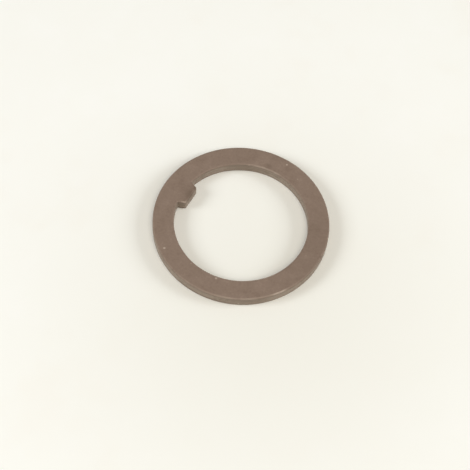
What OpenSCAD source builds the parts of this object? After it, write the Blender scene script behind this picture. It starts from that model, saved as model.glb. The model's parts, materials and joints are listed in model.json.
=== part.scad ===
// Tanged thrust washer
//
// A flat steel ring that takes an end load between a bearing and a nut or a shoulder.
// One tang in the bore drops into a groove along the shaft and stops the ring from turning.
// It is cut from plate in one piece and tumbled, so every edge of both faces is rounded,
// and the rounding follows the bore's outline into the tang, round it and out again.
//
// Millimetres. The ring lies on Z = 0 with its axis on Z. The tang stands on the -X side
// of the bore and points along +X.

/* [Ring] */
// Outside diameter of the ring
outer_d = 50; // [46:0.5:60]
// Diameter of the bore, between plain walls
bore_d = 38; // [34:0.5:40]
// Thickness of the plate
thickness = 3.5; // [2:0.1:6]
// Radius of the rounding along the edges of both faces
edge_r = 0.5; // [0.2:0.05:0.8]

/* [Tang] */
// How far the tip stands into the bore, measured from the bore's circle
tang_reach = 2.6; // [1.6:0.1:4]
// Width of the straight tip, before its corners are rounded
tang_tip_w = 6.1; // [4:0.1:9]
// Angle of each flank off the tang's own axis
flank_angle = 21; // [0:1:35]
// How much larger than edge_r the two tip corners' radius is, seen from above
corner_extra_r = 0.1; // [0.05:0.05:0.5]
// Radius of the two hollow corners where the flanks run out into the bore
fillet_r = 0.4; // [0.2:0.05:0.8]

/* [Hidden] */

// Facets of a full turn round the axis, and of the small circles that round the edges
turn_fn = 180;
edge_fn = 48;

// Brown-grey of the oxide finish
oxide_brown = [0.51, 0.45, 0.39];

// Direction from the axis to the tang
tang_at = 180;

// Where two rounded surfaces blend, they cross at a small angle instead of only touching.
// An arc passes the wall it blends with by this share of its radius, and the tang's walls
// run this share of the edge radius past both faces before the plate's faces trim them.
blend_overlap = 0.01;
face_lift = blend_overlap * edge_r;

// How far a cutting shape runs past both faces
cut_past = 1;

outer_r = outer_d / 2;
bore_r = bore_d / 2;
middle_r = (outer_r + bore_r) / 2;

// Plan of the tang, with the tang on the +X side and worked out for its +Y half
tip_x = bore_r - tang_reach;
sharp_corner = [tip_x, tang_tip_w / 2];
flank_along = [cos(flank_angle), sin(flank_angle)];
flank_out = [-sin(flank_angle), cos(flank_angle)];

// Centre of the tip corner, the same distance behind the tip and the flank
corner_r = edge_r + corner_extra_r;
corner_depth = corner_r * (1 - blend_overlap);
corner_at = [
    tip_x + corner_depth,
    tang_tip_w / 2 - corner_depth * (1 - sin(flank_angle)) / cos(flank_angle)
];

// Centre of the hollow corner, the same distance in front of the flank and of the bore's wall
fillet_gap = fillet_r * (1 - blend_overlap);
fillet_line = sharp_corner + fillet_gap * flank_out;
line_offset = fillet_line * flank_along;
fillet_run = -line_offset
    + sqrt(pow(line_offset, 2) - fillet_line * fillet_line + pow(bore_r - fillet_gap, 2));
fillet_at = fillet_line + fillet_run * flank_along;

// Directions from that centre to the flank and to the bore's wall, and the depth of stock
// that takes the hollow past the rounded edges of both
fillet_from = flank_angle - 90;
fillet_to = atan2(fillet_at.y, fillet_at.x);
fillet_turn = fillet_to - fillet_from;
fillet_depth = (fillet_r + edge_r) / cos(fillet_turn / 2) - fillet_gap;

// Section of a wall that stands at x = 0, with stock behind it and both edges rounded.
// It is as high as the plate, and its faces may be lifted a little off the plate's own.
module wall_section(depth, lift = 0) {
    height = thickness + 2 * lift;
    translate([0, edge_r - lift]) square([depth, height - 2 * edge_r]);
    translate([edge_r, -lift]) square([depth - edge_r, height]);
    for (z = [edge_r - lift, thickness + lift - edge_r])
        translate([edge_r, z]) circle(r = edge_r, $fn = edge_fn);
}

// The same section at x = r, with the wall facing away from the axis and stock back to it
module rim_section(r, lift = 0) {
    intersection() {
        translate([r, 0]) mirror([1, 0]) wall_section(r, lift);
        translate([0, -cut_past]) square([r, thickness + 2 * cut_past]);
    }
}

// Straight stretch of wall that faces -X, centred on the X axis
module straight_wall() {
    translate([0, outer_r, 0]) rotate([90, 0, 0])
        linear_extrude(outer_d) wall_section(outer_d, face_lift);
}

// Ring: what lies behind the bore's wall and inside the rim, turned about the axis
module ring() {
    rotate_extrude($fn = turn_fn) intersection() {
        rim_section(outer_r);
        translate([bore_r, 0]) wall_section(outer_r);
    }
}

// Everything behind one flank of the tang
module flank() {
    translate(sharp_corner) rotate([0, 0, flank_angle - 90]) straight_wall();
}

// Round button whose rim is one tip corner
module corner_button() {
    translate(corner_at) rotate_extrude($fn = turn_fn) rim_section(corner_r, face_lift);
}

// Stock that leaves one sharp corner of the tang when it is rounded: a wedge from the
// button's centre, long enough to take in the sharp corner, less the button itself
module corner_trim() {
    wedge = 3 * corner_r;
    difference() {
        translate([0, 0, -cut_past]) linear_extrude(thickness + 2 * cut_past)
            polygon([corner_at, corner_at + wedge * flank_out, corner_at - [wedge, 0]]);
        corner_button();
    }
}

// Hollow corner between one flank and the bore, with its own edges rounded
module hollow_corner() {
    translate(fillet_at) rotate_extrude(start = fillet_from, angle = fillet_turn, $fn = turn_fn)
        translate([fillet_r, 0]) wall_section(fillet_depth);
}

// Tang: what lies behind the tip and both flanks, back to the middle of the ring
module tang() {
    difference() {
        intersection() {
            cylinder(r = middle_r, h = thickness, $fn = turn_fn);
            translate([tip_x, 0, 0]) straight_wall();
            flank();
            mirror([0, 1, 0]) flank();
        }
        corner_trim();
        mirror([0, 1, 0]) corner_trim();
    }
    hollow_corner();
    mirror([0, 1, 0]) hollow_corner();
}

module thrust_washer() {
    color(oxide_brown) rotate([0, 0, tang_at]) {
        ring();
        tang();
    }
}

thrust_washer();
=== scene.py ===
# %% [markdown]
# # A tumbled thrust washer
# A thrust washer is a flat steel ring that carries an end load. This one has a tang in its
# bore, which drops into a groove along a shaft and stops the ring from turning. It is cut
# from plate in one piece, tumbled with stones until every edge is round, and given a brown
# oxide finish that keeps rust away.
#
# The construction was settled in CAD, so this script adds only looks. It loads the packed
# washer as a fixed frame and reads every size that it can from there.

# %% Load the frame and read the washer's sizes
import json
import math
import bpy
from mathutils import Matrix, Vector
from mathutils.bvhtree import BVHTree


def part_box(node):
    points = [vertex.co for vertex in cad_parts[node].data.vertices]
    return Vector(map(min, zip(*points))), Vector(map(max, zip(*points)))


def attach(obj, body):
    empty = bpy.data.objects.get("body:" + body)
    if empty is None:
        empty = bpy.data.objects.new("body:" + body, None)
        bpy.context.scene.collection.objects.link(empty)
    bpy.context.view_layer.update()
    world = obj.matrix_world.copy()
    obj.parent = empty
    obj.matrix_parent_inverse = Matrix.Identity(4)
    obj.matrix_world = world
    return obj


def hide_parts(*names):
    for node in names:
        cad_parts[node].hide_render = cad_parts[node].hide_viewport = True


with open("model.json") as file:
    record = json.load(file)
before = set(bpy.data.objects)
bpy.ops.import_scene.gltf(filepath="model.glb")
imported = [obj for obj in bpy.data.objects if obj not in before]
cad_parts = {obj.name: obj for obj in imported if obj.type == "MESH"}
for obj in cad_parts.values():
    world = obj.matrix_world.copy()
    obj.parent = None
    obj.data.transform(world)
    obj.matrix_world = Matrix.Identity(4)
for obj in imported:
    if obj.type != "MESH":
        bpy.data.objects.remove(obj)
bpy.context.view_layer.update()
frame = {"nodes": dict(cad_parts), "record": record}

cad_washer = frame["nodes"]["thrust_washer"]
low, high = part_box("thrust_washer")
thickness = high.z - low.z
outer_r = max(vertex.co.xy.length for vertex in cad_washer.data.vertices)
keyed_bore = next(m for m in frame["record"]["mounts"] if m["name"] == "keyed_bore")

MM = 0.001
bore_r = keyed_bore["dims"]["r_mm"] * MM
tip_x = min(
    -vertex.co.x for vertex in cad_washer.data.vertices
    if vertex.co.x < 0 and abs(vertex.co.y) < bore_r / 4
)
print(f"ring {2 * outer_r / MM:.2f} x {2 * bore_r / MM:.2f} x {thickness / MM:.2f} mm,"
      f" tang's tip {tip_x / MM:.2f} mm from the axis")

# %% [markdown]
# ## Camera
# The ring is looked at from above the table, a little closer to face-on than to edge-on. A
# long lens keeps the far side of the ring almost as large as the near side. The camera is
# built from four readable numbers, its heading, its height angle, its roll and its
# distance, because they are easier to correct one at a time than a matrix is.

# %% Set up the camera
view_heading = math.radians(25.5)
view_height = math.radians(59.70)
view_roll = math.radians(5.25)
view_distance = 435.3 * MM
look_at = Vector((-0.11, -3.01, 0)) * MM
focal_in_widths = 3.271
sensor_width = 36.0

towards_camera = Vector((
    math.sin(view_heading) * math.cos(view_height),
    -math.cos(view_heading) * math.cos(view_height),
    math.sin(view_height),
))
level_right = Vector((math.cos(view_heading), math.sin(view_heading), 0))
level_up = towards_camera.cross(level_right)
camera_right = math.cos(view_roll) * level_right + math.sin(view_roll) * level_up
camera_up = towards_camera.cross(camera_right)

camera_data = bpy.data.cameras.new("camera")
camera_data.sensor_width = sensor_width
camera_data.lens = focal_in_widths * sensor_width
camera_data.clip_start = 10 * MM
camera = bpy.data.objects.new("camera", camera_data)
turn = Matrix((camera_right, camera_up, towards_camera)).transposed()
camera.matrix_world = Matrix.LocRotScale(look_at + view_distance * towards_camera, turn, None)
bpy.context.scene.collection.objects.link(camera)
bpy.context.scene.camera = camera
print(f"lens {camera_data.lens:.1f} mm, {view_distance / MM:.0f} mm from the washer")

# %% [markdown]
# ## The bore's outline
# Seen from above, the hole is a circle with a tapered tang standing into it. The outline is
# built from what a toolmaker would draw: the tang's straight tip, two rounded corners, two
# leaning flanks, two hollow corners and one long arc. Half of it is enough, because the
# other half is its mirror image.
#
# Each stretch gets its own number of steps. Small corners need short steps to look round,
# and the long arc needs enough that its facets vanish.

# %% Work out the tang's corners
edge_r = 0.5 * MM
tang_tip_w = 6.1 * MM
flank_angle = math.radians(21)
corner_r = 0.6 * MM
fillet_r = 0.4 * MM

flank_along = Vector((math.cos(flank_angle), math.sin(flank_angle)))
flank_out = Vector((-math.sin(flank_angle), math.cos(flank_angle)))
sharp_corner = Vector((tip_x, tang_tip_w / 2))
corner_at = Vector((
    tip_x + corner_r,
    tang_tip_w / 2 - corner_r * (1 - math.sin(flank_angle)) / math.cos(flank_angle),
))
fillet_line = sharp_corner + fillet_r * flank_out
offset = fillet_line.dot(flank_along)
fillet_run = -offset + math.sqrt(offset**2 - fillet_line.dot(fillet_line) + (bore_r - fillet_r)**2)
fillet_at = fillet_line + fillet_run * flank_along
bore_start = math.atan2(fillet_at.y, fillet_at.x)
print(f"the bore's round wall starts {math.degrees(bore_start):.1f} degrees off the tang's axis")

# %% [markdown]
# ### Lines and arcs
# Two helpers draw every stretch, one along a straight line and one along an arc. Each
# leaves out its own last point, because the next stretch starts there, and so no point is
# doubled. A Blender curve with rounded corners would do as well, but here the number of
# steps on each stretch is in plain sight.


# %% Helpers for lines and arcs
def line(start, end, steps):
    """Points from start towards end, without end itself."""
    return [start.lerp(end, i / steps) for i in range(steps)]


def arc(centre, radius, start, end, steps):
    """Points along an arc between two directions, without the last one."""
    angles = [start + (end - start) * i / steps for i in range(steps)]
    return [centre + radius * Vector((math.cos(a), math.sin(a))) for a in angles]


for step in arc(Vector((0, 0)), 1.0, 0, math.pi / 2, 3):
    print(f"a quarter circle in 3 steps passes {step.x:.2f}, {step.y:.2f}")

# %% [markdown]
# ### Once round the hole
# The outline starts in the middle of the tang's tip, goes round one tip corner, along the
# flank, through the hollow corner and half way round the bore. Its mirror image closes it.

# %% Draw the outline
tip_steps = 14
corner_steps = 10
flank_steps = 10
hollow_steps = 8
long_arc_steps = 290

tip_middle = Vector((tip_x, 0))
tip_end = Vector((tip_x, corner_at.y))
flank_start = corner_at + corner_r * flank_out
flank_end = fillet_at - fillet_r * flank_out
bore_middle = Vector((0, 0))

half = line(tip_middle, tip_end, tip_steps)
half += arc(corner_at, corner_r, math.pi, math.pi / 2 + flank_angle, corner_steps)
half += line(flank_start, flank_end, flank_steps)
half += arc(fillet_at, fillet_r, flank_angle - math.pi / 2, bore_start, hollow_steps)
half += arc(bore_middle, bore_r, bore_start, math.pi, long_arc_steps)
mirrored = [Vector((p.x, -p.y)) for p in reversed(half[1:])]
bore_outline = half + [Vector((-bore_r, 0))] + mirrored

# The tang stands on the -X side, so the drawing is turned half round
bore_outline = [-p for p in bore_outline]
print(f"{len(bore_outline)} points round the bore")

# %% [markdown]
# ## The ring's section
# Cut through the ring and the section is a rectangle with four rounded corners. Its points
# lie close together on the rounded corners and near them, because that is where light
# catches and where wear shows, and far apart on the flat stretches between. A cosine does
# that spacing by itself.

# %% Draw the section
ring_w = outer_r - bore_r


def eased(start, end, steps):
    """Points from start towards end that crowd at both ends, without end itself."""
    shares = [(1 - math.cos(math.pi * i / steps)) / 2 for i in range(steps)]
    return [start.lerp(end, share) for share in shares]


edge_steps = 7
face_steps = 26
wall_steps = 9
across = (edge_r, ring_w - edge_r)
up = (edge_r, thickness - edge_r)
quarter = math.pi / 2

section = arc(Vector((across[0], up[0])), edge_r, 2 * quarter, 3 * quarter, edge_steps)
section += eased(Vector((across[0], 0)), Vector((across[1], 0)), face_steps)
section += arc(Vector((across[1], up[0])), edge_r, 3 * quarter, 4 * quarter, edge_steps)
section += eased(Vector((ring_w, up[0])), Vector((ring_w, up[1])), wall_steps)
section += arc(Vector((across[1], up[1])), edge_r, 0, quarter, edge_steps)
section += eased(Vector((across[1], thickness)), Vector((across[0], thickness)), face_steps)
section += arc(Vector((across[0], up[1])), edge_r, quarter, 2 * quarter, edge_steps)
section += eased(Vector((0, up[1])), Vector((0, up[0])), wall_steps)
print(f"{len(section)} points round the section")

# %% [markdown]
# ### From drawings to loops
# Geometry Nodes can't read a list in Python, but they can read an object's mesh. So each
# drawing becomes a mesh of points and edges without any face, which is the plainest thing
# that a modifier can sit on. Both are only helpers, and go once the washer is made.


# %% Turn both drawings into loops that nodes can read
def loop_object(name, points):
    """A closed loop of edges through flat points."""
    count = len(points)
    mesh = bpy.data.meshes.new(name)
    edges = [(i, (i + 1) % count) for i in range(count)]
    mesh.from_pydata([(p.x, p.y, 0) for p in points], edges, [])
    made = bpy.data.objects.new(name, mesh)
    bpy.context.scene.collection.objects.link(made)
    return made


outline_loop = loop_object("washer", bore_outline)
section_loop = loop_object("section", section)
print("loops:", [(loop.name, len(loop.data.edges)) for loop in (outline_loop, section_loop)])

# %% [markdown]
# ## Dents that can be seen
# A washer that has lain in a box of washers has small dents, where the finish is knocked
# off and bare steel shows. Three on this one are bright enough to notice, so they get
# places of their own: a direction from the axis, a distance from it and a size. The rest
# are scattered by chance later, with a fixed seed, so that they never move.

# %% Place the noticeable dents
dents = {
    "left": (-126.5, 23.4, 0.55),
    "far": (85.6, 23.4, 0.45),
    "near": (-80.6, 19.8, 0.50),
}
dent_points = bpy.data.meshes.new("dents")
places = [
    Matrix.Rotation(math.radians(angle), 3, "Z") @ Vector((distance * MM, 0, thickness))
    for angle, distance, size in dents.values()
]
dent_points.from_pydata(places, [], [])
dent_size = dent_points.attributes.new("dent_size", "FLOAT", "POINT")
for item, (angle, distance, size) in zip(dent_size.data, dents.values()):
    item.value = size * MM
dents_object = bpy.data.objects.new("dents", dent_points)
bpy.context.scene.collection.objects.link(dents_object)
print(f"{len(places)} dents placed by hand")

# %% [markdown]
# ## Helpers for building node trees
# A node tree can be wired by hand in the editor, or built in code as here, so that every
# size has a name and every run gives the same washer. A few small helpers keep the code
# readable. The first adds a node and links or fills its inputs in the same line, and lays
# the nodes out in rows, so that the tree can be followed in the editor too.

# %% A helper that adds a node
nodes_in_row = 12
column_width = 190
row_height = 260


def add(tree, kind, inputs=None, **settings):
    """A new node. An input that is given a socket is linked, and any other value is set."""
    made = tree.nodes.new(kind)
    row, column = divmod(len(tree.nodes), nodes_in_row)
    made.location = (column_width * column, -row_height * row)
    for name, value in settings.items():
        setattr(made, name, value)
    for key, value in (inputs or {}).items():
        if isinstance(value, bpy.types.NodeSocket):
            tree.links.new(value, made.inputs[key])
        else:
            made.inputs[key].default_value = value
    return made


print(f"{add.__name__}: {add.__doc__}")

# %% [markdown]
# ### Arithmetic in a tree
# Most of a tree is arithmetic. Three helpers each add one node and give back its result, so
# that a sum in a tree reads almost like a sum in a script.


# %% Helpers for arithmetic
def maths(tree, operation, *values, clamp=False):
    """The result of a Math node."""
    made = add(tree, "ShaderNodeMath", dict(enumerate(values)), operation=operation)
    made.use_clamp = clamp
    return made.outputs[0]


def vectors(tree, operation, *values, scale=None):
    """The result of a Vector Math node."""
    inputs = dict(enumerate(values))
    if scale is not None:
        inputs["Scale"] = scale
    made = add(tree, "ShaderNodeVectorMath", inputs, operation=operation)
    gives_number = operation in {"LENGTH", "DISTANCE", "DOT_PRODUCT"}
    return made.outputs["Value" if gives_number else "Vector"]


def ramp(tree, value, low, high, start=0.0, end=1.0, smooth=False):
    """value moved from the range low..high to start..end, and held inside it."""
    made = add(tree, "ShaderNodeMapRange", {0: value, 1: low, 2: high, 3: start, 4: end})
    made.interpolation_type = "SMOOTHSTEP" if smooth else "LINEAR"
    return made.outputs[0]


for made_here in (maths, vectors, ramp):
    print(f"{made_here.__name__}: {made_here.__doc__}")

# %% [markdown]
# ### Named inputs
# A tree without inputs has its sizes buried inside. Named sockets bring them out, so that
# the same tree can make another washer, or the same effect another finish.


# %% A helper for sockets
def sockets(tree, direction, **kinds):
    """New inputs or outputs on a tree. A kind is a socket's type and a default value."""
    for name, (kind, value) in kinds.items():
        made = tree.interface.new_socket(
            name.replace("_", " "), in_out=direction, socket_type="NodeSocket" + kind
        )
        if value is not None:
            made.default_value = value


print(f"{sockets.__name__}: {sockets.__doc__}")

# %% [markdown]
# ## The washer, made by Geometry Nodes
# The ring's shape follows one rule, so nodes make it: sweep the section along the bore's
# outline, and let its far side land on the rim's circle. `Curve to Mesh` joins the two
# loops into one closed skin of four-sided faces. Its points are then moved to their places
# by what each one carries: its place on the bore's wall, the way from there into the steel,
# and its place in the section.
#
# A plain sweep would keep the section's width and put a copy of the tang on the rim. Here
# the width stretches instead: near the bore a point keeps its distance from the bore's
# wall, near the rim it keeps its distance from the rim, and in between it is shared out
# along a straight line that points at the axis. Those lines never cross, not even beside
# the tang, so no face folds over another.

# %% Start the tree and name its inputs
washer_tree = bpy.data.node_groups.new("Tumbled washer", "GeometryNodeTree")
washer_tree.is_modifier = True
sockets(
    washer_tree, "INPUT",
    Outline=("Geometry", None), Section=("Object", None), Dents=("Object", None),
    Outer_Radius=("Float", 0.0), Ring_Width=("Float", 0.0), Thickness=("Float", 0.0),
    Edge_Radius=("Float", 0.0), Face_Finish=("Material", None), Wall_Finish=("Material", None),
    Dents_Per_Square_Cm=("Float", 0.0), Smallest_Dent=("Float", 0.0),
    Largest_Dent=("Float", 0.0), Dent_Depth=("Float", 0.0), Unevenness=("Float", 0.0),
    Seed=("Int", 0),
)
sockets(washer_tree, "OUTPUT", Washer=("Geometry", None))
given = add(washer_tree, "NodeGroupInput").outputs
print(f"{len(washer_tree.interface.items_tree)} sockets on the tree")

# %% [markdown]
# ### Numbers that travel with the points
# Once the section is swept along the outline, a point no longer tells where it came from.
# So the numbers go on first, as named attributes: on the outline, the place on the bore's
# wall and the way from there into the steel, and on the section, the place in the drawing.
# `Curve to Mesh` hands both sets on to the skin. To work them out afterwards, from the
# finished shape, each point would have to search for its wall.


# %% Let each point carry its numbers
def store(tree, geometry, name, kind, value):
    """geometry, with value kept on its points under a name."""
    inputs = {"Geometry": geometry, "Name": name, "Value": value}
    made = add(tree, "GeometryNodeStoreNamedAttribute", inputs, data_type=kind, domain="POINT")
    return made.outputs["Geometry"]


def carried(tree, name, kind):
    """The value that each point carries under a name."""
    made = add(tree, "GeometryNodeInputNamedAttribute", {"Name": name}, data_type=kind)
    return made.outputs["Attribute"]


outline_curve = add(washer_tree, "GeometryNodeMeshToCurve", {"Mesh": given["Outline"]})
position = add(washer_tree, "GeometryNodeInputPosition").outputs[0]
tangent = add(washer_tree, "GeometryNodeInputTangent").outputs[0]
into_stock = vectors(washer_tree, "CROSS_PRODUCT", tangent, (0, 0, 1))

path = store(washer_tree, outline_curve.outputs[0], "wall_at", "FLOAT_VECTOR", position)
path = store(washer_tree, path, "into_stock", "FLOAT_VECTOR", into_stock)

section_mesh = add(washer_tree, "GeometryNodeObjectInfo", {"Object": given["Section"]})
profile = add(washer_tree, "GeometryNodeMeshToCurve", {"Mesh": section_mesh.outputs["Geometry"]})
profile = store(washer_tree, profile.outputs[0], "in_section", "FLOAT_VECTOR", position)
print(f"{len(washer_tree.nodes)} nodes so far")

# %% [markdown]
# ### Every point to its place
# The sweep only joins the points into faces. Where a point belongs is worked out twice,
# once from the bore's wall and once from the rim, and then the two are blended by how far
# across the face the point lies. On the rounded edges one of the two holds alone, so they
# keep their exact section and only the flat faces stretch.

# %% Sweep the section, then put every point in its place
inside_out = add(washer_tree, "GeometryNodeCurveToMesh", {"Curve": path, "Profile Curve": profile})
skin = add(washer_tree, "GeometryNodeFlipFaces", {"Mesh": inside_out.outputs[0]})

in_section = carried(washer_tree, "in_section", "FLOAT_VECTOR")
split = add(washer_tree, "ShaderNodeSeparateXYZ", {0: in_section}).outputs
from_wall, height = split["X"], split["Y"]
from_rim = maths(washer_tree, "SUBTRACT", given["Ring Width"], from_wall)
edge = given["Edge Radius"]

wall_depth = maths(washer_tree, "MINIMUM", from_wall, edge)
wall_at = carried(washer_tree, "wall_at", "FLOAT_VECTOR")
inwards = carried(washer_tree, "into_stock", "FLOAT_VECTOR")
off_wall = vectors(washer_tree, "SCALE", inwards, scale=wall_depth)
by_wall = vectors(washer_tree, "ADD", wall_at, off_wall)

rim_depth = maths(washer_tree, "MINIMUM", from_rim, edge)
rim_distance = maths(washer_tree, "SUBTRACT", given["Outer Radius"], rim_depth)
rim_direction = vectors(washer_tree, "NORMALIZE", wall_at)
by_rim = vectors(washer_tree, "SCALE", rim_direction, scale=rim_distance)

rim_edge_at = maths(washer_tree, "SUBTRACT", given["Ring Width"], edge)
share = ramp(washer_tree, from_wall, edge, rim_edge_at)
flat_place = add(
    washer_tree, "ShaderNodeMix", {"Factor": share, 4: by_wall, 5: by_rim}, data_type="VECTOR"
).outputs[1]
lift = add(washer_tree, "ShaderNodeCombineXYZ", {"Z": height}).outputs[0]
place = vectors(washer_tree, "ADD", flat_place, lift)
shaped = add(
    washer_tree, "GeometryNodeSetPosition", {"Geometry": skin.outputs[0], "Position": place}
).outputs[0]
print(f"{len(washer_tree.nodes)} nodes, and the plain washer is shaped")

# %% [markdown]
# ## Wear in the shape
# Tumbling stones strike the edges of a part and hardly touch its faces. So the tree works
# out how close each point is to an edge, keeps that as a mask under the name `edge`, and
# uses it twice: the rounded edges get slightly uneven, and most dents fall near them. The
# finish reads the same mask afterwards, so its rubbed edges lie exactly where the shape
# is worn.

# %% Mark the edges
near_wall = maths(washer_tree, "MINIMUM", from_wall, from_rim)
near_face = maths(
    washer_tree, "MINIMUM", height, maths(washer_tree, "SUBTRACT", given["Thickness"], height)
)

# The gap to the wall and the gap to the face, added and counted in edge radii
edge_gap = maths(washer_tree, "DIVIDE", maths(washer_tree, "ADD", near_wall, near_face), edge)
gap_at_crest = 2 - math.sqrt(2)
gap_without_wear = 1.7
edge_mask = ramp(washer_tree, edge_gap, gap_at_crest, gap_without_wear, 1.0, 0.0, smooth=True)
shaped = store(washer_tree, shaped, "edge", "FLOAT", edge_mask)
print(f"the mask is 1 at a gap of {gap_at_crest:.2f} edge radii and 0 past {gap_without_wear}")

# %% [markdown]
# ### Small dents by chance
# `Distribute Points on Faces` scatters the small dents. They lie ten times as thick on the
# edges as on the faces, and each has a size of its own. The dents that were listed one by one
# join them here, so that the next step can treat all dents alike.

# %% Scatter small dents and add the placed ones
square_cm = 0.0001
share_on_faces = 0.1
density = maths(washer_tree, "DIVIDE", given["Dents Per Square Cm"], square_cm)
edge_share = maths(
    washer_tree, "MULTIPLY_ADD", carried(washer_tree, "edge", "FLOAT"),
    1 - share_on_faces, share_on_faces,
)
scattered = add(washer_tree, "GeometryNodeDistributePointsOnFaces", {
    "Mesh": shaped, "Density": maths(washer_tree, "MULTIPLY", density, edge_share),
    "Seed": given["Seed"],
})
any_size = add(washer_tree, "FunctionNodeRandomValue", {
    2: given["Smallest Dent"], 3: given["Largest Dent"], "Seed": given["Seed"],
}, data_type="FLOAT").outputs[1]
scattered = store(washer_tree, scattered.outputs["Points"], "dent_size", "FLOAT", any_size)

placed_mesh = add(washer_tree, "GeometryNodeObjectInfo", {"Object": given["Dents"]})
placed = add(washer_tree, "GeometryNodeMeshToPoints", {"Mesh": placed_mesh.outputs["Geometry"]})
all_dents = add(washer_tree, "GeometryNodeJoinGeometry")
washer_tree.links.new(scattered, all_dents.inputs[0])
washer_tree.links.new(placed.outputs[0], all_dents.inputs[0])
print(f"dents join two sets of points: {len(all_dents.inputs[0].links)} links")

# %% [markdown]
# ### Press them in
# A dent could be cut with a little ball, but hundreds of cuts are slow and leave slivers.
# Instead each point of the skin looks up the dent that is nearest and sinks along its own
# normal, deeper the closer it lies. The same mask stays on the points under the name
# `dent`, so that the finish knows where steel is bare.

# %% Press the dents into the washer
nearest = add(
    washer_tree, "GeometryNodeSampleNearest", {"Geometry": all_dents.outputs[0]}, domain="POINT"
).outputs[0]
dent_at = add(washer_tree, "GeometryNodeSampleIndex", {
    "Geometry": all_dents.outputs[0], "Value": position, "Index": nearest,
}, data_type="FLOAT_VECTOR").outputs[0]
dent_r = add(washer_tree, "GeometryNodeSampleIndex", {
    "Geometry": all_dents.outputs[0], "Value": carried(washer_tree, "dent_size", "FLOAT"),
    "Index": nearest,
}, data_type="FLOAT").outputs[0]
dent_gap = maths(washer_tree, "DIVIDE", vectors(washer_tree, "DISTANCE", position, dent_at), dent_r)
flat_bottom = 0.15
dent_mask = ramp(washer_tree, dent_gap, flat_bottom, 1.0, 1.0, 0.0, smooth=True)
shaped = store(washer_tree, shaped, "dent", "FLOAT", dent_mask)

bumps_per_metre = 260.0
uneven = add(washer_tree, "ShaderNodeTexNoise", {"Scale": bumps_per_metre, "Detail": 2.0}).outputs[0]
uneven = maths(washer_tree, "MULTIPLY", uneven, carried(washer_tree, "edge", "FLOAT"))
uneven = maths(washer_tree, "MULTIPLY", uneven, given["Unevenness"])
depth = maths(washer_tree, "MULTIPLY", dent_r, given["Dent Depth"])
pressed = maths(washer_tree, "MULTIPLY", carried(washer_tree, "dent", "FLOAT"), depth)
loss = maths(washer_tree, "ADD", uneven, pressed)
normal = add(washer_tree, "GeometryNodeInputNormal").outputs[0]
sunk = vectors(washer_tree, "SCALE", normal, scale=maths(washer_tree, "MULTIPLY", loss, -1.0))
worn = add(
    washer_tree, "GeometryNodeSetPosition", {"Geometry": shaped, "Offset": sunk}
).outputs[0]
print(f"{len(washer_tree.nodes)} nodes, and the washer is worn")

# %% [markdown]
# ### Two finishes, and a plain mesh at the end
# The walls were sheared or turned and the faces ground, so they get two finishes, and the
# walls' finish is also painted lighter, as painted light for the light they catch from below
# and in front. Which is which follows from the way a face of the mesh looks: one that is
# within 20 degrees of upright is wall, and the rounded edges go with the faces. Both finishes
# are built from the same effects in the same places, so clouds, wear and painted light run on
# from one into the other.
# `Realize Instances` makes sure that what leaves the tree is one plain mesh.

# %% Finish the tree
wall_tilt = math.radians(70)
for name in ("wall_at", "into_stock", "in_section"):
    worn = add(
        washer_tree, "GeometryNodeRemoveAttribute", {"Geometry": worn, "Name": name}
    ).outputs[0]
smooth = add(washer_tree, "GeometryNodeSetShadeSmooth", {0: worn}).outputs[0]
plain = add(washer_tree, "GeometryNodeRealizeInstances", {"Geometry": smooth}).outputs[0]
upward = add(washer_tree, "ShaderNodeSeparateXYZ", {0: normal}).outputs["Z"]
is_wall = maths(
    washer_tree, "LESS_THAN", maths(washer_tree, "ABSOLUTE", upward), math.cos(wall_tilt)
)
faced = add(
    washer_tree, "GeometryNodeSetMaterial", {"Geometry": plain, "Material": given["Face Finish"]}
).outputs[0]
walled = add(washer_tree, "GeometryNodeSetMaterial", {
    "Geometry": faced, "Selection": is_wall, "Material": given["Wall Finish"],
}).outputs[0]
add(washer_tree, "NodeGroupOutput", {"Washer": walled})
print(f"{len(washer_tree.nodes)} nodes in the washer's tree")

# %% [markdown]
# ## Effects that the finishes share
# A shader node group is to a material what a function is to a script. Each effect below is
# built once and used with other values in each material: cloudy mottling, fine grain, wear
# that follows the edges, and two masks for places. A group gives back only colours, masks
# and heights, and the shader itself stays in the material, where its own numbers are set.


# %% Helpers for shader groups
def new_group(name, inputs, outputs):
    """An empty shader group, with its inputs and its output node."""
    tree = bpy.data.node_groups.new(name, "ShaderNodeTree")
    sockets(tree, "INPUT", **inputs)
    sockets(tree, "OUTPUT", **outputs)
    return tree, add(tree, "NodeGroupInput").outputs


def noise(tree, place, scale, detail=2.0, roughness=0.5):
    """A noise between 0 and 1."""
    made = add(tree, "ShaderNodeTexNoise", {
        "Vector": place, "Scale": scale, "Detail": detail, "Roughness": roughness,
    })
    return made.outputs[0]


def blend(tree, share, first, second):
    """first where share is 0, second where it is 1."""
    made = add(tree, "ShaderNodeMix", {"Factor": share, 6: first, 7: second}, data_type="RGBA")
    return made.outputs[2]


for made_here in (new_group, noise, blend):
    print(f"{made_here.__name__}: {made_here.__doc__}")

# %% [markdown]
# ### Cloudy mottling
# Oxide never takes quite evenly: the coat shows soft clouds a few millimetres across, with
# finer spots in them. Two noises of different scale are added and then split into three
# tones. A painted image could show the same clouds, but it would first have to be unwrapped
# onto the ring. Noise fills space, so it needs no unwrapping and has no seam.

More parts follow.
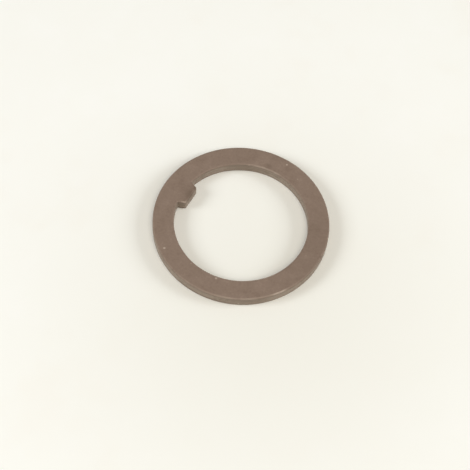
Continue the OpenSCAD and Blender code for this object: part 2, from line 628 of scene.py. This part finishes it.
# %% Cloudy mottling
grey = (0.5, 0.5, 0.5, 1.0)
mottling, inp = new_group(
    "Cloudy mottling",
    dict(Place=("Vector", None), Cloud_Scale=("Float", 300.0), Spot_Scale=("Float", 1500.0),
         Dark=("Color", grey), Middle=("Color", grey), Light=("Color", grey)),
    dict(Color=("Color", None)),
)
cloud = noise(mottling, inp["Place"], inp["Cloud Scale"], 3.0, 0.55)
spots = noise(mottling, inp["Place"], inp["Spot Scale"], 2.0, 0.6)
cloud_share = 0.55
spot_share = 0.45
clouds = maths(mottling, "MULTIPLY", cloud, cloud_share)
both = maths(mottling, "MULTIPLY_ADD", spots, spot_share, clouds)
darkest_at, middle_at, lightest_at = 0.36, 0.50, 0.66
darker = ramp(mottling, both, darkest_at, middle_at, smooth=True)
lighter = ramp(mottling, both, middle_at, lightest_at, smooth=True)
cloudy = blend(mottling, darker, inp["Dark"], inp["Middle"])
cloudy = blend(mottling, lighter, cloudy, inp["Light"])
add(mottling, "NodeGroupOutput", {"Color": cloudy})
print(f"{mottling.name}: {len(mottling.nodes)} nodes")

# %% [markdown]
# ### Fine grain
# Close up, the coat is a fine grain of pits, and a turned or sheared wall also keeps lines
# that run round the ring. The grain is a noise. The lines are another, read at places that
# are squeezed almost flat, so that it changes quickly with height and hardly at all along
# the wall. `Lines` says how much of them a finish shows.

# %% Fine grain
grain, inp = new_group(
    "Fine grain",
    dict(Place=("Vector", None), Scale=("Float", 5000.0), Lines=("Float", 0.0),
         Line_Scale=("Float", 1600.0)),
    dict(Height=("Float", None), Line=("Float", None)),
)
pits = noise(grain, inp["Place"], inp["Scale"], 3.0, 0.65)
level_squeeze = 0.04
only_up = vectors(grain, "MULTIPLY", inp["Place"], (level_squeeze, level_squeeze, 1.0))
turned = noise(grain, only_up, inp["Line Scale"], 2.0, 0.5)
height = maths(grain, "MULTIPLY_ADD", turned, inp["Lines"], pits)
add(grain, "NodeGroupOutput", {"Height": height, "Line": turned})
print(f"{grain.name}: {len(grain.nodes)} nodes")

# %% [markdown]
# ### Rubbed edges
# Oxide wears through first where the edge is proudest. The mask from the shape says where
# the edges are, and only its crest wears bare, which leaves a thin line. A noise breaks the
# line up, and a second input says how bare this part of the edge is; in a few places that
# input also carries a painted highlight in bare steel's colour. The dents come in last,
# because a dent is bare wherever it lies.

# %% Rubbed edges
rubbed, inp = new_group(
    "Rubbed edges",
    dict(Place=("Vector", None), Edge=("Float", 0.0), Dent=("Float", 0.0),
         Bareness=("Float", 0.5), Break_Up=("Float", 700.0)),
    dict(Mask=("Float", None)),
)
patchy = noise(rubbed, inp["Place"], inp["Break Up"], 3.0, 0.6)
gap_below, full_above = 0.30, 0.70
patchy = ramp(rubbed, patchy, gap_below, full_above)
crest_from = 0.75
crest = ramp(rubbed, inp["Edge"], crest_from, 1.0)
least_rub = 0.35
dent_from, dent_to = 0.2, 0.7
barest_dent = 0.65
on_edge = maths(rubbed, "MULTIPLY", crest, inp["Bareness"])
on_edge = maths(rubbed, "MULTIPLY", on_edge, maths(rubbed, "ADD", patchy, least_rub), clamp=True)
in_dent = ramp(rubbed, inp["Dent"], dent_from, dent_to, 0.0, barest_dent, smooth=True)
add(rubbed, "NodeGroupOutput", {"Mask": maths(rubbed, "MAXIMUM", on_edge, in_dent)})
print(f"{rubbed.name}: {len(rubbed.nodes)} nodes")

# %% [markdown]
# ### Where the ring is worn most, and where highlights are painted
# The rubbing isn't the same all the way round: a washer lies against its neighbours on a
# few stretches, and two stretches on the near side also carry a painted highlight. This group
# takes a direction from the axis and gives a mask that is 1 there and falls away to both
# sides. The angle between two directions is the arc cosine of their dot product, so no map
# of the ring is needed.

# %% A stretch of the ring
stretch, inp = new_group(
    "Stretch of the ring",
    dict(Place=("Vector", None), Direction=("Vector", (1.0, 0.0, 0.0)),
         Half_Width=("Float", 30.0)),
    dict(Mask=("Float", None)),
)
flat = vectors(stretch, "NORMALIZE", vectors(stretch, "MULTIPLY", inp["Place"], (1, 1, 0)))
away = maths(stretch, "ARCCOSINE", vectors(stretch, "DOT_PRODUCT", flat, inp["Direction"]))
half_width = maths(stretch, "RADIANS", inp["Half Width"])
mask = ramp(stretch, away, 0.0, half_width, 1.0, 0.0, smooth=True)
add(stretch, "NodeGroupOutput", {"Mask": mask})
print(f"{stretch.name}: {len(stretch.nodes)} nodes")

# %% [markdown]
# ### Patches
# Some marks lie in one place only: darker patches on the oxide, painted shade on the tang and
# a painted highlight on a rounded corner. A soft ball round that place marks them all, large
# or small, and since it is a ball in space, a patch runs over an edge from a face to a wall.

# %% A soft patch
patch, inp = new_group(
    "Patch",
    dict(Place=("Vector", None), Centre=("Vector", (0.0, 0.0, 0.0)), Radius=("Float", MM)),
    dict(Mask=("Float", None)),
)
from_centre = vectors(patch, "DISTANCE", inp["Place"], inp["Centre"])
mask = ramp(patch, from_centre, 0.0, inp["Radius"], 1.0, 0.0, smooth=True)
add(patch, "NodeGroupOutput", {"Mask": mask})
print(f"{patch.name}: {len(patch.nodes)} nodes")

# %% [markdown]
# ## The two steel finishes
# Brown oxide on tumbled steel is a thin matte coat, between a paint and a metal: mostly
# diffuse, with a soft sheen. Where it is rubbed, the steel under it shows lighter, smoother
# and more metallic. One function makes both finishes, because they differ only in their
# colours, in the band of painted shade beside the edges and in the fine lines that a turned
# or sheared wall keeps.


# %% Helpers for materials
def use(tree, group, **inputs):
    """A node group placed in a tree."""
    named = {name.replace("_", " "): value for name, value in inputs.items()}
    return add(tree, "ShaderNodeGroup", named, node_tree=group).outputs


def srgb(red, green, blue):
    """A colour as a colour picker shows it, 0 to 255, in the linear values that shaders use."""
    shares = [part / 255 for part in (red, green, blue)]
    return tuple(
        s / 12.92 if s <= 0.04045 else ((s + 0.055) / 1.055) ** 2.4 for s in shares
    ) + (1.0,)


def heading(degrees):
    """A level direction of length 1."""
    return Vector((math.cos(math.radians(degrees)), math.sin(math.radians(degrees)), 0))


for made_here in (use, srgb, heading):
    print(f"{made_here.__name__}: {made_here.__doc__}")

# %% [markdown]
# ### Where the marks lie
# The marks have names and places: stretches of edge that rubbed against a neighbour, where
# the near side also carries a painted highlight and a painted glint, a painted highlight on
# the tang's near corner, darker patches, and painted shade on the tang. A mask could be
# painted instead, but a list says what each mark stands for, and one line moves it.
# Directions are in degrees round the axis, and distances in millimetres.

# %% List the marks
# Each stretch: its direction, half its width and how bare it is
worn_and_glint_stretches = {
    # Painted highlight: the near side is partly a rubbed edge and partly a painted highlight along
    # the edge that faces the camera, and the near knock is a painted glint in bare steel's colour.
    "near side": (-66, 52, 0.26),
    "near knock": (-35, 8, 0.60),
    "far bore": (95, 26, 0.35),
}

# Each patch: its direction, its distance from the axis, its radius and its strength
painted_highlight_patches = {
    # Painted highlight: lighter bare steel on the rounded near corner of the tang.
    "tang's near corner": (-170.1, 17.3, 1.0, 0.6),
}
dark_patches = {
    # Painted shade: the tang darker towards its tip, and its far corner darker as a corner in shade.
    "tang": (180, 16.9, 4.2, 0.35),
    "tang's far corner": (170.5, 16.6, 1.1, 0.80),
    "tang's tip": (180, 15.6, 3.4, 0.35),
    "far bore": (96.6, 20.2, 1.8, 0.30),
    "rim": (3.7, 25.2, 0.9, 0.60),
    "right side": (18, 23.0, 16.0, 0.17),
    "near right": (-14, 24.0, 8.0, 0.13),
}
mark_count = len(worn_and_glint_stretches) + len(painted_highlight_patches) + len(dark_patches)
print(f"{mark_count} marks with a place of their own")


# %% A helper for lists of patches
def patches(tree, place, marks, start):
    """start, with a mask added for each mark: its direction, distance, radius and strength."""
    total = start
    for angle, distance, radius, strength in marks.values():
        centre = heading(angle) * distance * MM + Vector((0, 0, thickness))
        here = use(tree, patch, Place=place, Centre=centre, Radius=radius * MM)["Mask"]
        total = maths(tree, "MULTIPLY_ADD", here, strength, total)
    return total


print(f"{patches.__name__}: {patches.__doc__}")

# %% [markdown]
# ### One recipe for both finishes
# The layers go on one over the other. First comes the mottled oxide, then the darker patches
# and the painted shade, then the lines of a wall, and last the bare steel, wherever the wear
# mask says so, with the painted highlights that the mask also carries. Bare steel is also
# smoother and more metallic, so the mask drives the roughness and the metallic value too.

# %% The recipe
bare_steel_and_highlight = srgb(186, 170, 156)
dark_oxide_and_shade = srgb(92, 76, 62)
oxide_roughness, bare_roughness = 0.66, 0.48
oxide_metallic, bare_metallic = 0.10, 0.35
oxide_gloss = 0.25
least_bareness = 0.06
grain_depth = 0.02 * MM
grain_strength = 0.25
shade_under_edge_reach = 0.6
line_from, line_to = 0.48, 0.60


def oxide_finish(name, dark, middle, light, lines, shade_under_edge):
    """Brown oxide on tumbled steel, rubbed along its edges, with painted shade beside them."""
    material = bpy.data.materials.new(name)
    material.use_nodes = True
    tree = material.node_tree
    shader = tree.nodes["Principled BSDF"]
    place = add(tree, "ShaderNodeTexCoord").outputs["Object"]
    edge = add(tree, "ShaderNodeAttribute", attribute_name="edge").outputs["Fac"]
    dent = add(tree, "ShaderNodeAttribute", attribute_name="dent").outputs["Fac"]

    bareness_and_highlight = least_bareness
    for angle, half_width, strength in worn_and_glint_stretches.values():
        here = use(tree, stretch, Place=place, Direction=heading(angle), Half_Width=half_width)
        bareness_and_highlight = maths(tree, "MULTIPLY_ADD", here["Mask"], strength, bareness_and_highlight)
    bareness_and_highlight = patches(tree, place, painted_highlight_patches, bareness_and_highlight)
    # The rub mask carries the real wear and the painted highlights listed above.
    rub_and_highlight = use(tree, rubbed, Place=place, Edge=edge, Dent=dent, Bareness=bareness_and_highlight)["Mask"]
    oxide = use(tree, mottling, Place=place, Dark=dark, Middle=middle, Light=light)
    # Painted shade: a darker band on the wall where it meets each rounded edge.
    painted_shade_under_edge = maths(tree, "MULTIPLY", ramp(tree, edge, 0.0, shade_under_edge_reach), shade_under_edge)
    smear_and_shade = patches(tree, place, dark_patches, painted_shade_under_edge)
    smeared_and_shaded = blend(tree, smear_and_shade, oxide["Color"], dark_oxide_and_shade)
    texture = use(tree, grain, Place=place, Lines=lines)
    shown_line = ramp(tree, texture["Line"], line_from, line_to)
    streak = maths(tree, "MULTIPLY", shown_line, lines)
    smeared_and_shaded = blend(tree, streak, smeared_and_shaded, dark)

    bump = add(tree, "ShaderNodeBump", {
        "Strength": grain_strength, "Distance": grain_depth, "Height": texture["Height"],
    })
    roughness = ramp(tree, rub_and_highlight, 0, 1, oxide_roughness, bare_roughness)
    metallic = ramp(tree, rub_and_highlight, 0, 1, oxide_metallic, bare_metallic)
    tree.links.new(blend(tree, rub_and_highlight, smeared_and_shaded, bare_steel_and_highlight), shader.inputs["Base Color"])
    tree.links.new(roughness, shader.inputs["Roughness"])
    tree.links.new(metallic, shader.inputs["Metallic"])
    tree.links.new(bump.outputs[0], shader.inputs["Normal"])
    shader.inputs["Specular IOR Level"].default_value = oxide_gloss
    return material


print(f"{oxide_finish.__name__}: {oxide_finish.__doc__}")

# %% [markdown]
# ### Face and wall
# The ground faces are even and dark. The walls are a little lighter, partly as sheared steel
# and partly as painted light, show their lines, and carry a band of painted shade where they
# meet the rounded edges. Each finish gets three tones of the same brown, since strong
# contrasts would look like paint.

# %% Make both finishes
face_finish = oxide_finish(
    "oxide_face", srgb(126, 107, 94), srgb(132, 113, 100), srgb(138, 119, 106),
    lines=0.0, shade_under_edge=0.0,
)
# The wall's tones are lighter than the face's partly as sheared steel and partly as painted light,
# standing in for the bounce and front light that lift the walls.
wall_finish_painted_lighter = oxide_finish(
    "oxide_wall_painted_lighter", srgb(134, 119, 106), srgb(150, 135, 122), srgb(156, 141, 128),
    lines=0.8, shade_under_edge=0.4,
)
print("finishes:", face_finish.name, wall_finish_painted_lighter.name)

# %% [markdown]
# ## Run the tree
# Here the tree gets this washer's own sizes, dents and finishes. A modifier's inputs are
# set by identifier, because two sockets may share a name. Afterwards the result is kept as
# a plain mesh and the modifier goes, so that what is rendered is that mesh itself.

# %% Give the tree its sizes
modifier = outline_loop.modifiers.new("tumbled washer", "NODES")
modifier.node_group = washer_tree
settings = {
    "Section": section_loop, "Dents": dents_object,
    "Outer Radius": outer_r, "Ring Width": ring_w, "Thickness": thickness,
    "Edge Radius": edge_r, "Face Finish": face_finish, "Wall Finish": wall_finish_painted_lighter,
    "Dents Per Square Cm": 8.0, "Smallest Dent": 0.10 * MM, "Largest Dent": 0.28 * MM,
    "Dent Depth": 0.12, "Unevenness": 0.03 * MM, "Seed": 11,
}
for item in washer_tree.interface.items_tree:
    if item.name in settings:
        modifier[item.identifier] = settings[item.name]
print(f"{len(settings)} inputs set")

# %% [markdown]
# ### From modifier to mesh
# The dependency graph holds each object as its modifiers leave it. `new_from_object` copies
# that result, with its materials and attributes, and the three helpers can go.

# %% Keep the result as a mesh
depsgraph = bpy.context.evaluated_depsgraph_get()
mesh = bpy.data.meshes.new_from_object(outline_loop.evaluated_get(depsgraph), depsgraph=depsgraph)
mesh.name = "tumbled_washer"
washer = bpy.data.objects.new("tumbled_washer", mesh)
bpy.context.scene.collection.objects.link(washer)
for helper in (outline_loop, section_loop, dents_object):
    bpy.data.objects.remove(helper)
print(f"{len(mesh.vertices)} points, materials {[slot.name for slot in mesh.materials]}")

# %% [markdown]
# ### Measure the washer
# A skin can look right and still be open, inside out or the wrong size, so it is measured.
# Every edge must have two faces, the volume must come out positive, and no point may lie
# far from the CAD washer's surface. The volume adds up the small pyramids between each
# triangle and the origin, which cancel outside the shape.


# %% Measure what was made
def volume(mesh):
    """The volume that a closed mesh holds, negative if its faces point inwards."""
    mesh.calc_loop_triangles()
    points = [vertex.co for vertex in mesh.vertices]
    corners = [[points[i] for i in triangle.vertices] for triangle in mesh.loop_triangles]
    return sum(a.dot(b.cross(c)) for a, b, c in corners) / 6


sides = {}
for polygon in mesh.polygons:
    for key in polygon.edge_keys:
        sides[key] = sides.get(key, 0) + 1
open_edges = sum(count != 2 for count in sides.values())
cad_surface = BVHTree.FromPolygons(
    [v.co for v in cad_washer.data.vertices], [p.vertices for p in cad_washer.data.polygons]
)
furthest = max(cad_surface.find_nearest(v.co)[3] for v in mesh.vertices)
print(f"{len(mesh.polygons)} faces, {open_edges} open edges, {volume(mesh) / MM**3:.1f} mm3,"
      f" at most {furthest / MM:.3f} mm from the CAD washer")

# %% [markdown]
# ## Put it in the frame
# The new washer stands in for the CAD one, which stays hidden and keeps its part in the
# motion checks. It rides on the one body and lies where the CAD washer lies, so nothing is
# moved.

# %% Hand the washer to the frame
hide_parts("thrust_washer")
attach(washer, "root")
print(f"{washer.name} rides on root in place of {cad_washer.name}")

# %% [markdown]
# ## Floor
# The washer lies on a plain pale board. The board is warm white and hardly textured, so
# that only the washer and its soft shadow are seen. It reuses the mottling group with
# values of its own, so faint that it only takes the dead look off a flat colour. Round the
# washer, centred a little in front of it and to its right, the board is painted a shade
# darker, as painted shade where the light falls off, and the patch group gives that shade
# its soft limit.

# %% Lay the floor
floor_size = 4.0
board_in_painted_shade = srgb(243, 241, 234)
floor_drop = 0.01 * MM
floor_mesh = bpy.data.meshes.new("floor")
far = floor_size / 2
corners = [(-far, -far, -floor_drop), (far, -far, -floor_drop),
           (far, far, -floor_drop), (-far, far, -floor_drop)]
floor_mesh.from_pydata(corners, [], [(0, 1, 2, 3)])
floor = bpy.data.objects.new("floor", floor_mesh)
bpy.context.scene.collection.objects.link(floor)

board = bpy.data.materials.new("pale_board")
board.use_nodes = True
tree = board.node_tree
place = add(tree, "ShaderNodeTexCoord").outputs["Object"]
tint = use(
    tree, mottling, Place=place, Cloud_Scale=18.0, Spot_Scale=60.0,
    Dark=srgb(252, 250, 245), Middle=srgb(253, 252, 248), Light=srgb(254, 253, 250),
)
# Painted shade: the board darker round the washer, fading out over 95 mm.
painted_falloff = use(
    tree, patch, Place=place, Centre=Vector((20, -18, 0)) * MM, Radius=95 * MM
)["Mask"]
shader = tree.nodes["Principled BSDF"]
board_colour = blend(tree, painted_falloff, tint["Color"], board_in_painted_shade)
tree.links.new(board_colour, shader.inputs["Base Color"])
board_roughness, board_gloss = 0.8, 0.1
shader.inputs["Roughness"].default_value = board_roughness
shader.inputs["Specular IOR Level"].default_value = board_gloss
floor_mesh.materials.append(board)
print(f"{floor.name} is {floor_size:.0f} m wide, {floor_drop / MM:.2f} mm under the washer")

# %% [markdown]
# ## Light
# A small flat part is best lit between two softboxes, one on each side and both low, so
# that the ring's short wall throws a soft band of shadow to the left and to the right. A
# third softbox stands high in front, a little to the right. It lights the walls that look
# this way, and its own shadows mostly hide behind the ring. Area lamps do this, since only
# a lamp with a size gives a shadow with a soft limit.

# %% A helper that hangs a softbox
lamp_distance = 1.2


def softbox(name, heading_degrees, height_degrees, size, power, colour):
    """A square lamp that looks at the washer from a heading and a height angle."""
    data = bpy.data.lights.new(name, "AREA")
    data.shape = "SQUARE"
    data.size = size
    data.energy = power
    data.color = colour
    lamp = bpy.data.objects.new(name, data)
    out = heading(heading_degrees) * math.cos(math.radians(height_degrees))
    out.z = math.sin(math.radians(height_degrees))
    lamp.matrix_world = Matrix.LocRotScale(out * lamp_distance, out.to_track_quat("Z", "Y"), None)
    bpy.context.scene.collection.objects.link(lamp)
    print(f"{name}: {power} W, {size} m wide, {height_degrees} degrees up")


# %% Hang the lamps
cool_white = (0.92, 0.97, 1.0)
warm_white = (1.0, 0.95, 0.85)
right_side = math.degrees(view_heading)
softbox("left softbox", right_side + 192, 32, 0.5, 7.0, cool_white)
softbox("right softbox", right_side + 3, 27, 0.5, 6.7, cool_white)
softbox("front softbox", right_side - 66, 60, 0.6, 4.15, warm_white)

# %% [markdown]
# ### The room
# The world plays two parts. As light it fills the shadows evenly and dimly, since more would
# wash them out, and it is a little warmer than the side lamps, as the shadows are. Where it
# is seen, behind the floor or mirrored in steel, it is a white room. `Light Path` tells the
# two apart.

# %% Paint the room
world = bpy.data.worlds.new("white room")
world.use_nodes = True
tree = world.node_tree
fill_strength = 0.34
fill_light = tree.nodes["Background"]
fill_light.inputs["Color"].default_value = (*warm_white, 1.0)
fill_light.inputs["Strength"].default_value = fill_strength
seen_room = add(tree, "ShaderNodeBackground", {"Color": srgb(246, 244, 238)})
ray = add(tree, "ShaderNodeLightPath").outputs
seen = maths(tree, "MAXIMUM", ray["Is Camera Ray"], ray["Is Glossy Ray"])
seen = maths(tree, "MAXIMUM", seen, ray["Is Transmission Ray"])
sky = add(tree, "ShaderNodeMixShader", {0: seen, 1: fill_light.outputs[0], 2: seen_room.outputs[0]})
tree.links.new(sky.outputs[0], tree.nodes["World Output"].inputs["Surface"])
bpy.context.scene.world = world
bpy.context.scene.view_settings.view_transform = "Standard"
print(f"{world.name}: fills with {fill_strength:.2f} of full white")

# %% [markdown]
